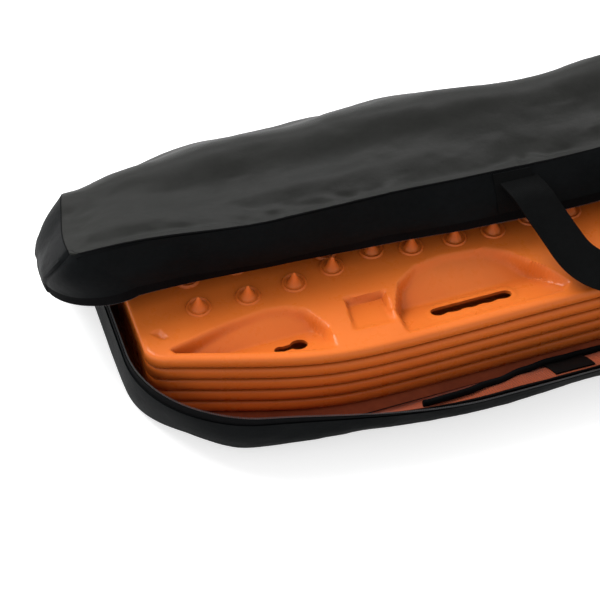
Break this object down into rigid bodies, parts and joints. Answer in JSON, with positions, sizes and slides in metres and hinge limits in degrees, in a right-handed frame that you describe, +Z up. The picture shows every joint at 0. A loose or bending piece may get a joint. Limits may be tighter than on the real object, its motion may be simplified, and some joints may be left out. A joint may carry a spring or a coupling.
{
  "type": "gear carry bag",
  "caption": "Long soft carry bag, unzipped with its padded lid drawn back over a nest of moulded recovery boards; lid, front wall, webbing handle and zip sliders move.",
  "frame": {"origin": "centre of the underside of the tray base, on the ground plane", "axes": "+X along the length of the bag, +Y towards the hinge side, +Z up; the unzipped front faces -Y"},
  "size_m": [1.253, 0.512, 0.2008],
  "materials": {
    "lid_fabric": "satin coated weave",
    "wall_fabric": "matte coated weave",
    "black_lining": "matte",
    "orange_lining": "ribbed weave",
    "webbing": "matte woven webbing",
    "zip_coil": "satin",
    "slider_metal": "satin",
    "board_plastic": "glossy moulded"
  },
  "bodies": {
    "tray": {"base_panel": "wall_fabric", "base_lining": "orange_lining", "left_end_wall": "wall_fabric", "right_end_wall": "wall_fabric", "left_end_lining": "black_lining", "right_end_lining": "black_lining", "back_wall_lower": "wall_fabric", "left_end_welt": "wall_fabric", "right_end_welt": "wall_fabric", "left_end_zip_tape": "webbing", "right_end_zip_tape": "webbing", "left_end_zip_coil": "zip_coil", "right_end_zip_coil": "zip_coil", "board_1": "board_plastic", "board_2": "board_plastic", "board_3": "board_plastic", "board_4": "board_plastic", "board_5": "board_plastic"},
    "front_wall": {"front_wall": "wall_fabric", "front_wall_lining": "orange_lining", "front_wall_hem": "black_lining", "front_wall_welt": "wall_fabric", "front_wall_zip_tape": "webbing", "front_wall_zip_coil": "zip_coil", "inner_strap_left": "webbing", "inner_strap_right": "webbing"},
    "back_wall": {"back_wall_upper": "wall_fabric", "back_wall_lining": "black_lining"},
    "lid_hem": {"spine_binding": "wall_fabric", "lid_hem_panel": "black_lining", "lid_hem_band_left": "black_lining", "lid_hem_band_right": "black_lining"},
    "lid_rear": {"lid_rear_panel": "lid_fabric", "lid_rear_lining": "black_lining", "lid_rear_band_left": "wall_fabric", "lid_rear_band_right": "wall_fabric", "lid_rear_zip_tape_left": "webbing", "lid_rear_zip_tape_right": "webbing", "lid_rear_zip_coil_left": "zip_coil", "lid_rear_zip_coil_right": "zip_coil"},
    "lid_front": {"lid_front_panel": "lid_fabric", "lid_front_lining": "black_lining", "lid_front_band": "wall_fabric", "lid_corner_band_left": "wall_fabric", "lid_corner_band_right": "wall_fabric", "lid_front_zip_tape": "webbing", "lid_corner_zip_tape_left": "webbing", "lid_corner_zip_tape_right": "webbing", "lid_front_zip_coil": "zip_coil", "lid_corner_zip_coil_left": "zip_coil", "lid_corner_zip_coil_right": "zip_coil", "handle_anchor_left": "webbing", "handle_anchor_right": "webbing"},
    "handle": {"front_handle": "webbing"},
    "slider_left": {"zip_slider_left": "slider_metal", "zip_pull_left": "webbing"},
    "slider_right": {"zip_slider_right": "slider_metal", "zip_pull_right": "webbing"}
  },
  "joints": [
    {"name": "back_fold", "type": "hinge", "parent": "tray", "child": "back_wall", "pos_m": [0, 0.175, 0.05], "axis": [1, 0, 0], "range_deg": [0, 114.5]},
    {"name": "lid_level", "type": "hinge", "parent": "back_wall", "child": "lid_hem", "pos_m": [0, 0.27146, 0.00604], "axis": [1, 0, 0], "range_deg": [-66.51, 0]},
    {"name": "lid_flip", "type": "hinge", "parent": "lid_hem", "child": "lid_rear", "pos_m": [0, 0.21332, 0.0748], "axis": [1, 0, 0], "range_deg": [-150, 0]},
    {"name": "lid_crease", "type": "hinge", "parent": "lid_rear", "child": "lid_front", "pos_m": [0, 0.13763, 0.15467], "axis": [1, 0, 0], "range_deg": [-31.01, 0]},
    {"name": "front_wall_fold", "type": "hinge", "parent": "tray", "child": "front_wall", "pos_m": [0, -0.175, 0.003], "axis": [1, 0, 0], "range_deg": [-44.01, 0]},
    {"name": "handle_swing", "type": "hinge", "parent": "lid_front", "child": "handle", "pos_m": [0, -0.00782, 0.19953], "axis": [1, 0, 0], "range_deg": [-115, 0]},
    {"name": "left_zip_slide", "type": "slide", "parent": "tray", "child": "slider_left", "axis": [0, -1, 0], "range_m": [0, 0.156]},
    {"name": "right_zip_slide", "type": "slide", "parent": "tray", "child": "slider_right", "axis": [0, -1, 0], "range_m": [0, 0.156]}
  ],
  "couplings": [
    {"joint": "lid_level", "follows": "back_fold", "ratio": -0.58079},
    {"joint": "lid_crease", "follows": "back_fold", "ratio": -0.27074},
    {"joint": "front_wall_fold", "follows": "back_fold", "ratio": -0.38428}
  ]
}
